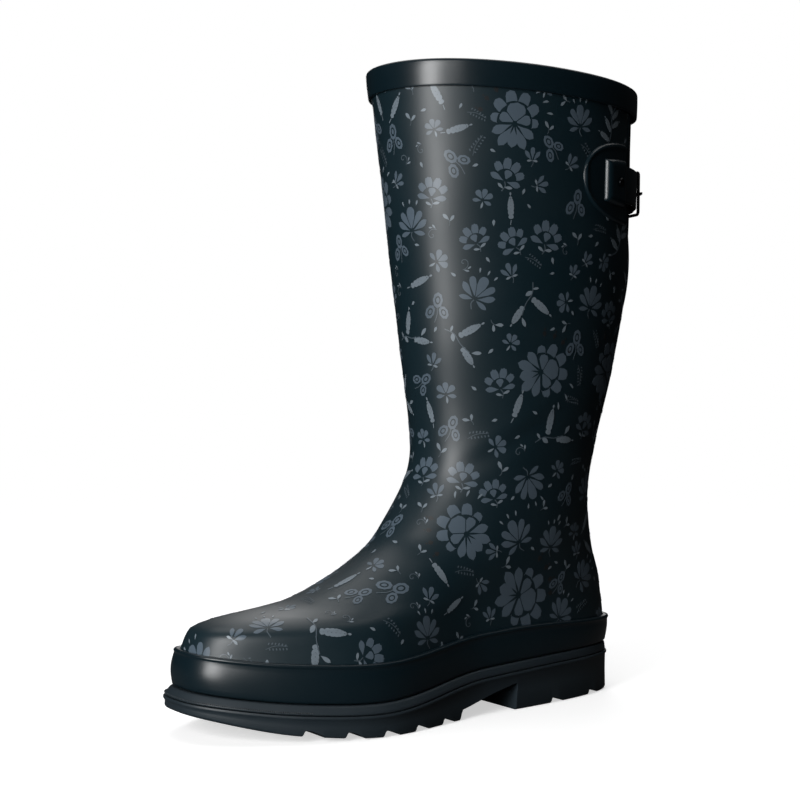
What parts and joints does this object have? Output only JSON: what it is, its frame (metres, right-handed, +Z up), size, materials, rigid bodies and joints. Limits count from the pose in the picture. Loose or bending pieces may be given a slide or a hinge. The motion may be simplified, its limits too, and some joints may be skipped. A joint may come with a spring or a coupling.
{
  "type": "rubber rain boot",
  "caption": "Tall wide-calf rubber rain boot with a floral print, glossy foxing band, lugged sole, and a back gusset crossed by a small buckled strap.",
  "frame": {"origin": "middle of the boot's box in plan, on the ground under the tread", "axes": "+X towards the toe, +Y towards the outer side of the foot, +Z up"},
  "size_m": [0.3156, 0.1306, 0.378],
  "materials": {
    "printed_rubber": "satin dark teal rubber with a pale printed floral pattern",
    "gloss_rubber": "glossy dark teal rubber",
    "sole_rubber": "dull moulded dark teal rubber",
    "gusset_rubber": "plain black stretch rubber panel",
    "lining_knit": "dark knitted polyester lining",
    "footbed_knit": "dark knitted cover on the removable footbed",
    "eva_foam": "soft grey foam",
    "fibre_board": "tan cellulose fibre board",
    "spring_steel": "plain spring steel strip",
    "black_metal": "blackened metal with a soft sheen"
  },
  "bodies": {
    "boot": {"upper_shell": "printed_rubber", "back_gusset": "gusset_rubber", "gusset_piping": "gloss_rubber", "top_binding": "gloss_rubber", "foxing_band": "gloss_rubber", "welt_strip": "sole_rubber", "outsole": "sole_rubber", "heel_core": "eva_foam", "bottom_filler": "eva_foam", "shank": "spring_steel", "insole_board": "fibre_board", "sock_lining": "lining_knit", "heel_counter": "fibre_board", "toe_puff": "fibre_board", "ankle_patch_outer": "lining_knit", "ankle_patch_inner": "lining_knit", "strap_patch_outer": "gloss_rubber", "strap_housing_outer": "gloss_rubber", "anchor_rivet_outer": "black_metal", "strap_patch_inner": "gloss_rubber", "strap_housing_inner": "gloss_rubber", "anchor_rivet_inner": "black_metal", "hole_strap": "gloss_rubber", "buckle_strap": "gloss_rubber"},
    "buckle_frame": {"buckle_frame": "black_metal"},
    "buckle_tongue": {"buckle_tongue": "black_metal"},
    "strap_keeper": {"strap_keeper": "gloss_rubber"},
    "footbed": {"footbed_foam": "eva_foam", "footbed_cover": "footbed_knit"}
  },
  "joints": [
    {"name": "buckle_hinge", "type": "hinge", "parent": "boot", "child": "buckle_frame", "pos_m": [-0.15317, 0.00843, 0.31096], "axis": [-0.009, 0.0074, 0.9999], "range_deg": [0, 8]},
    {"name": "tongue_hinge", "type": "hinge", "parent": "buckle_frame", "child": "buckle_tongue", "pos_m": [-0.15317, 0.00843, 0.31096], "axis": [-0.009, 0.0074, 0.9999], "range_deg": [0, 5]},
    {"name": "keeper_slide", "type": "slide", "parent": "boot", "child": "strap_keeper", "axis": [0.2688, -0.9631, -0.0094], "range_m": [-0.003, 0.003]},
    {"name": "footbed_lift", "type": "hinge", "parent": "boot", "child": "footbed", "pos_m": [0.14386, -0.00989, 0.03154], "axis": [0, 1, 0], "range_deg": [0, 4]}
  ]
}
